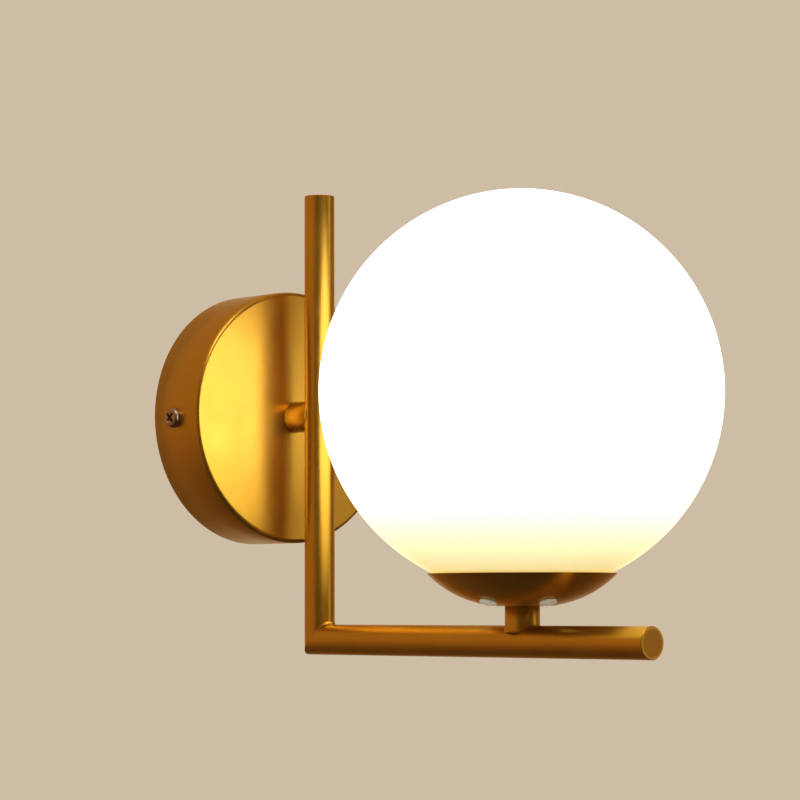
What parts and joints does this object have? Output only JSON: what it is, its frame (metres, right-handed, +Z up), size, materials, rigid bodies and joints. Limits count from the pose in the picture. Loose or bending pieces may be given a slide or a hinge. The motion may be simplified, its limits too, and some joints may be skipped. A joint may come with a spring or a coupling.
{
  "type": "globe wall sconce",
  "caption": "Wall light with a round canopy, an upright tube, a mitred arm and an opal glass globe on a shallow dish.",
  "frame": {"origin": "centre of the canopy on the wall, midway between the two wall slots", "axes": "+Z up, the light stands out from the wall along -Y, +X to the right when facing the wall"},
  "size_m": [0.15, 0.2308, 0.1836],
  "materials": {
    "satin_gold": "satin, finely brushed",
    "zinc_steel": "bright zinc plate",
    "spring_steel": "bright spring steel",
    "screw_steel": "nickel plate",
    "terminal_brass": "plain brass",
    "tinned_tag": "tinned",
    "clear_silicone": "translucent silicone",
    "opal_glass": "gloss opal",
    "holder_plastic": "moulded",
    "holder_ceramic": "glazed",
    "block_plastic": "moulded",
    "lamp_contact": "solder",
    "lamp_black_glass": "gloss",
    "lamp_cap_metal": "bright",
    "lamp_white_plastic": "moulded",
    "lamp_diffuser": "frosted",
    "lamp_board_white": "white lacquer",
    "lamp_phosphor": "yellow gel",
    "brown_lead": "silicone insulation",
    "blue_lead": "silicone insulation",
    "earth_green": "silicone insulation"
  },
  "bodies": {
    "fixture": {"canopy": "satin_gold", "boss": "satin_gold", "upright_tube": "satin_gold", "arm_tube": "satin_gold", "top_plug": "satin_gold", "end_plug": "satin_gold", "stem": "satin_gold", "dish": "satin_gold", "wall_bracket": "zinc_steel", "canopy_nipple": "zinc_steel", "canopy_washer": "zinc_steel", "canopy_nut": "zinc_steel", "stem_nipple": "zinc_steel", "stem_washer": "zinc_steel", "stem_nut": "zinc_steel", "spring_plate": "spring_steel", "canopy_screws": "screw_steel", "dish_screws": "screw_steel", "earth_screw": "screw_steel", "terminal_fixing_screw": "screw_steel", "terminal_tunnels": "terminal_brass", "terminal_screws": "terminal_brass", "holder_contact": "terminal_brass", "holder_shell": "terminal_brass", "earth_tag": "tinned_tag", "seat_ring": "clear_silicone", "claw_sleeves": "clear_silicone", "holder_cap": "holder_plastic", "holder_sleeve": "holder_plastic", "holder_insert": "holder_ceramic", "terminal_block": "block_plastic", "live_lead": "brown_lead", "neutral_lead": "blue_lead", "earth_lead": "earth_green"},
    "globe": {"globe": "opal_glass"},
    "lamp": {"lamp_tip": "lamp_contact", "lamp_insulator": "lamp_black_glass", "lamp_cap": "lamp_cap_metal", "lamp_housing": "lamp_white_plastic", "lamp_board": "lamp_board_white", "lamp_dome": "lamp_diffuser", "lamp_diodes": "lamp_phosphor"}
  },
  "joints": [
    {"name": "globe_lift", "type": "slide", "parent": "fixture", "child": "globe", "axis": [0, 0, 1], "range_m": [0, 0.1]},
    {"name": "lamp_lift", "type": "slide", "parent": "fixture", "child": "lamp", "axis": [0, 0, 1], "range_m": [0, 0.035]}
  ]
}
